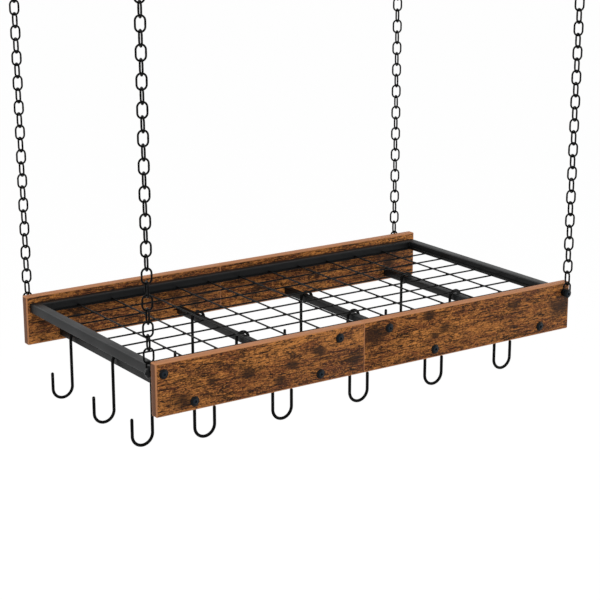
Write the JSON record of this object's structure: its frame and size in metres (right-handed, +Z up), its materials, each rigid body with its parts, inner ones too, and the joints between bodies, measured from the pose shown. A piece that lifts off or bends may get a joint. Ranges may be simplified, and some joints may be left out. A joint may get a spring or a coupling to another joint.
{
  "type": "hanging pot rack",
  "caption": "Hanging pot rack: two wooden boards on a black steel tube frame with a wire shelf, hook bars with sliding pot hooks, hung level on corner chains from ceiling hooks.",
  "frame": {"origin": "on the ceiling plane, over the middle of the rack's boards", "axes": "+X along the boards to the right, +Y from the front board to the back board, +Z up"},
  "size_m": [0.8091, 0.4799, 0.7911],
  "materials": {
    "wood": "rustic brown wood grain with a satin finish",
    "black_steel": "black powder coat, satin"
  },
  "bodies": {
    "ceiling_hooks": {"front_left_ceiling_hook": "black_steel", "front_right_ceiling_hook": "black_steel", "back_left_ceiling_hook": "black_steel", "back_right_ceiling_hook": "black_steel"},
    "front_left_top_link": {"front_left_top_link": "black_steel"},
    "front_left_chain": {"front_left_chain": "black_steel"},
    "front_left_end_link": {"front_left_end_link": "black_steel"},
    "front_right_top_link": {"front_right_top_link": "black_steel"},
    "front_right_chain": {"front_right_chain": "black_steel"},
    "front_right_end_link": {"front_right_end_link": "black_steel"},
    "back_left_top_link": {"back_left_top_link": "black_steel"},
    "back_left_chain": {"back_left_chain": "black_steel"},
    "back_left_end_link": {"back_left_end_link": "black_steel"},
    "back_right_top_link": {"back_right_top_link": "black_steel"},
    "back_right_chain": {"back_right_chain": "black_steel"},
    "back_right_end_link": {"back_right_end_link": "black_steel"},
    "rack": {"front_board_left": "wood", "front_board_right": "wood", "back_board_left": "wood", "back_board_right": "wood", "frame_front_tube": "black_steel", "frame_back_tube": "black_steel", "frame_left_tube": "black_steel", "frame_right_tube": "black_steel", "shelf_long_wires": "black_steel", "shelf_cross_wires": "black_steel", "hook_bar_1": "black_steel", "hook_bar_2": "black_steel", "hook_bar_3": "black_steel", "hook_bar_4": "black_steel", "front_rail": "black_steel", "bar_plugs": "black_steel", "lower_bolts": "black_steel", "upper_bolts": "black_steel", "chain_bolts": "black_steel", "chain_spacers": "black_steel"},
    "pot_hook_1_front": {"pot_hook_1_front": "black_steel"},
    "pot_hook_1_middle": {"pot_hook_1_middle": "black_steel"},
    "pot_hook_1_back": {"pot_hook_1_back": "black_steel"},
    "pot_hook_2_middle": {"pot_hook_2_middle": "black_steel"},
    "pot_hook_2_back": {"pot_hook_2_back": "black_steel"},
    "pot_hook_3_middle": {"pot_hook_3_middle": "black_steel"},
    "pot_hook_3_back": {"pot_hook_3_back": "black_steel"},
    "pot_hook_4_middle": {"pot_hook_4_middle": "black_steel"},
    "pot_hook_4_back": {"pot_hook_4_back": "black_steel"},
    "rail_hook_1": {"rail_hook_1": "black_steel"},
    "rail_hook_2": {"rail_hook_2": "black_steel"},
    "rail_hook_3": {"rail_hook_3": "black_steel"},
    "rail_hook_4": {"rail_hook_4": "black_steel"},
    "rail_hook_5": {"rail_hook_5": "black_steel"}
  },
  "joints": [
    {"name": "lengthwise_sway", "type": "hinge", "parent": "ceiling_hooks", "child": "front_right_top_link", "pos_m": [0.387, -0.2277, -0.038], "axis": [0, 1, 0], "range_deg": [-6, 6]},
    {"name": "crosswise_sway", "type": "hinge", "parent": "front_right_top_link", "child": "front_right_chain", "pos_m": [0.387, -0.2277, -0.0568], "axis": [1, 0, 0], "range_deg": [-6, 6]},
    {"name": "front_right_end_crosswise", "type": "hinge", "parent": "front_right_chain", "child": "front_right_end_link", "pos_m": [0.387, -0.2277, -0.5883], "axis": [1, 0, 0], "range_deg": [-6, 6]},
    {"name": "back_left_lengthwise", "type": "hinge", "parent": "ceiling_hooks", "child": "back_left_top_link", "pos_m": [-0.387, 0.2277, -0.038], "axis": [0, 1, 0], "range_deg": [-6, 6]},
    {"name": "back_left_crosswise", "type": "hinge", "parent": "back_left_top_link", "child": "back_left_chain", "pos_m": [-0.387, 0.2277, -0.0568], "axis": [1, 0, 0], "range_deg": [-6, 6]},
    {"name": "back_left_end_crosswise", "type": "hinge", "parent": "back_left_chain", "child": "back_left_end_link", "pos_m": [-0.387, 0.2277, -0.5883], "axis": [1, 0, 0], "range_deg": [-6, 6]},
    {"name": "back_right_lengthwise", "type": "hinge", "parent": "ceiling_hooks", "child": "back_right_top_link", "pos_m": [0.37, 0.2277, -0.038], "axis": [0, 1, 0], "range_deg": [-6, 6]},
    {"name": "back_right_crosswise", "type": "hinge", "parent": "back_right_top_link", "child": "back_right_chain", "pos_m": [0.37, 0.2277, -0.0568], "axis": [1, 0, 0], "range_deg": [-6, 6]},
    {"name": "back_right_end_crosswise", "type": "hinge", "parent": "back_right_chain", "child": "back_right_end_link", "pos_m": [0.37, 0.2277, -0.5883], "axis": [1, 0, 0], "range_deg": [-6, 6]},
    {"name": "front_left_crosswise", "type": "hinge", "parent": "ceiling_hooks", "child": "front_left_top_link", "pos_m": [-0.3961, -0.194, -0.0423], "axis": [1, 0, 0], "range_deg": [-6, 6]},
    {"name": "front_left_lengthwise", "type": "hinge", "parent": "front_left_top_link", "child": "front_left_chain", "pos_m": [-0.3961, -0.194, -0.0611], "axis": [0, 1, 0], "range_deg": [-6.5, 6.5]},
    {"name": "front_left_end_lengthwise", "type": "hinge", "parent": "front_left_chain", "child": "front_left_end_link", "pos_m": [-0.3961, -0.194, -0.5926], "axis": [0, 1, 0], "range_deg": [-6.5, 6.5]},
    {"name": "rack_level", "type": "hinge", "parent": "front_right_end_link", "child": "rack", "pos_m": [0.387, -0.2277, -0.6066], "axis": [0, 1, 0], "range_deg": [-6, 6]},
    {"name": "pot_hook_1_front_slide", "type": "slide", "parent": "rack", "child": "pot_hook_1_front", "axis": [0, 1, 0], "range_m": [-0.017, 0.0565]},
    {"name": "pot_hook_1_middle_slide", "type": "slide", "parent": "rack", "child": "pot_hook_1_middle", "axis": [0, 1, 0], "range_m": [-0.0605, 0.0665]},
    {"name": "pot_hook_1_back_slide", "type": "slide", "parent": "rack", "child": "pot_hook_1_back", "axis": [0, 1, 0], "range_m": [-0.0715, 0.0445]},
    {"name": "pot_hook_2_middle_slide", "type": "slide", "parent": "rack", "child": "pot_hook_2_middle", "axis": [0, 1, 0], "range_m": [-0.132, 0.067]},
    {"name": "pot_hook_2_back_slide", "type": "slide", "parent": "rack", "child": "pot_hook_2_back", "axis": [0, 1, 0], "range_m": [-0.068, 0.0555]},
    {"name": "pot_hook_3_middle_slide", "type": "slide", "parent": "rack", "child": "pot_hook_3_middle", "axis": [0, 1, 0], "range_m": [-0.132, 0.067]},
    {"name": "pot_hook_3_back_slide", "type": "slide", "parent": "rack", "child": "pot_hook_3_back", "axis": [0, 1, 0], "range_m": [-0.068, 0.0555]},
    {"name": "pot_hook_4_middle_slide", "type": "slide", "parent": "rack", "child": "pot_hook_4_middle", "axis": [0, 1, 0], "range_m": [-0.132, 0.067]},
    {"name": "pot_hook_4_back_slide", "type": "slide", "parent": "rack", "child": "pot_hook_4_back", "axis": [0, 1, 0], "range_m": [-0.068, 0.0555]},
    {"name": "rail_hook_1_slide", "type": "slide", "parent": "rack", "child": "rail_hook_1", "axis": [1, 0, 0], "range_m": [-0.023, 0.069]},
    {"name": "rail_hook_2_slide", "type": "slide", "parent": "rack", "child": "rail_hook_2", "axis": [1, 0, 0], "range_m": [-0.028, 0.036]},
    {"name": "rail_hook_3_slide", "type": "slide", "parent": "rack", "child": "rail_hook_3", "axis": [1, 0, 0], "range_m": [-0.0695, 0.0905]},
    {"name": "rail_hook_4_slide", "type": "slide", "parent": "rack", "child": "rail_hook_4", "axis": [1, 0, 0], "range_m": [-0.0185, 0.0695]},
    {"name": "rail_hook_5_slide", "type": "slide", "parent": "rack", "child": "rail_hook_5", "axis": [1, 0, 0], "range_m": [-0.036, 0.036]}
  ],
  "couplings": [
    {"joint": "front_right_end_crosswise", "follows": "crosswise_sway", "ratio": -1},
    {"joint": "back_left_lengthwise", "follows": "lengthwise_sway", "ratio": 1},
    {"joint": "back_left_crosswise", "follows": "crosswise_sway", "ratio": 1},
    {"joint": "back_left_end_crosswise", "follows": "crosswise_sway", "ratio": -1},
    {"joint": "back_right_lengthwise", "follows": "lengthwise_sway", "ratio": 1},
    {"joint": "back_right_crosswise", "follows": "crosswise_sway", "ratio": 1},
    {"joint": "back_right_end_crosswise", "follows": "crosswise_sway", "ratio": -1},
    {"joint": "front_left_crosswise", "follows": "crosswise_sway", "ratio": 0.93475},
    {"joint": "front_left_lengthwise", "follows": "lengthwise_sway", "ratio": 1.0698},
    {"joint": "front_left_end_lengthwise", "follows": "lengthwise_sway", "ratio": -1.0698},
    {"joint": "rack_level", "follows": "lengthwise_sway", "ratio": -1}
  ]
}
